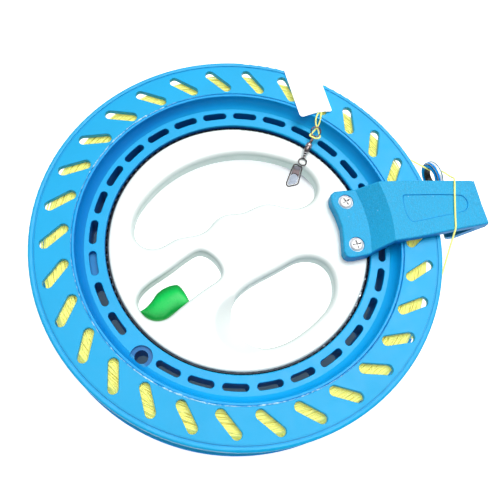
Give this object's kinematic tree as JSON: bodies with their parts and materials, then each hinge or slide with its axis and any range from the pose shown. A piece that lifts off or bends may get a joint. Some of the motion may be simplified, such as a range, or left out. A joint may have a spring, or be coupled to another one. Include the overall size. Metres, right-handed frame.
{
  "type": "kite line winder",
  "caption": "Ring-shaped kite line winder: a hand grip plate with a flanged line wheel turning round it, a thumb brake and a guide arm with a line ring.",
  "frame": {"origin": "on the wheel's spin axis in the middle plane of the grip plate", "axes": "+Z along the spin axis out of the front face, +X towards the guide arm's side"},
  "size_m": [0.2455, 0.2234, 0.0422],
  "materials": {
    "blue_gloss": "moulded, satin gloss",
    "blue_dark": "moulded, satin gloss",
    "arm_blue": "moulded, fine grain",
    "sleeve_blue": "gloss",
    "white_plastic": "moulded, gloss",
    "green_gloss": "polished",
    "yellow_line": "braided line",
    "bearing_steel": "ground",
    "ball_steel": "polished balls",
    "screw_steel": "nickel plated",
    "black_rubber": "matt",
    "ring_chrome": "polished",
    "black_ceramic": "polished",
    "tag_white": "card",
    "swivel_metal": "dark nickel",
    "snap_metal": "bright nickel"
  },
  "bodies": {
    "frame": {"grip_front": "white_plastic", "grip_rear": "white_plastic", "grip_screws": "screw_steel", "arm_screws": "screw_steel", "arm_nuts": "screw_steel", "inner_race_front": "bearing_steel", "inner_race_rear": "bearing_steel", "brake_pivot_pin": "bearing_steel", "brake_spring": "bearing_steel", "guide_arm": "arm_blue", "guide_ring_frame": "ring_chrome", "guide_ring_sleeve": "sleeve_blue", "guide_ring_insert": "black_ceramic", "guide_ring_screw": "screw_steel", "running_line": "yellow_line", "end_loop": "yellow_line", "tag_card": "tag_white", "swivel_eye": "swivel_metal", "swivel_lower_ring": "swivel_metal", "snap_wire": "swivel_metal", "snap_plate": "snap_metal"},
    "wheel": {"wheel_hub": "blue_gloss", "front_flange": "blue_gloss", "rear_flange": "blue_gloss", "outer_race": "bearing_steel", "bearing_retainer": "blue_dark", "line_pack": "yellow_line"},
    "ball_set": {"bearing_balls": "ball_steel"},
    "brake": {"brake_lever": "green_gloss", "brake_pad": "black_rubber"},
    "swivel": {"swivel_barrel": "swivel_metal"}
  },
  "joints": [
    {"name": "wheel_spin", "type": "hinge", "parent": "frame", "child": "wheel", "pos_m": [0, 0, 0], "axis": [0, 0, 1], "continuous": true},
    {"name": "ball_orbit", "type": "hinge", "parent": "frame", "child": "ball_set", "pos_m": [0, 0, 0.001], "axis": [0, 0, 1], "continuous": true},
    {"name": "brake_press", "type": "hinge", "parent": "frame", "child": "brake", "pos_m": [-0.0398, -0.0492, 0], "axis": [0, 0, 1], "range_deg": [-4, 0], "stiffness_Nm_per_rad": 0.02},
    {"name": "barrel_spin", "type": "hinge", "parent": "frame", "child": "swivel", "pos_m": [0.03698, 0.05985, 0.00865], "axis": [-0.4111, -0.9111, -0.03], "continuous": true}
  ],
  "couplings": [
    {"joint": "ball_orbit", "follows": "wheel_spin", "ratio": 0.5137}
  ]
}
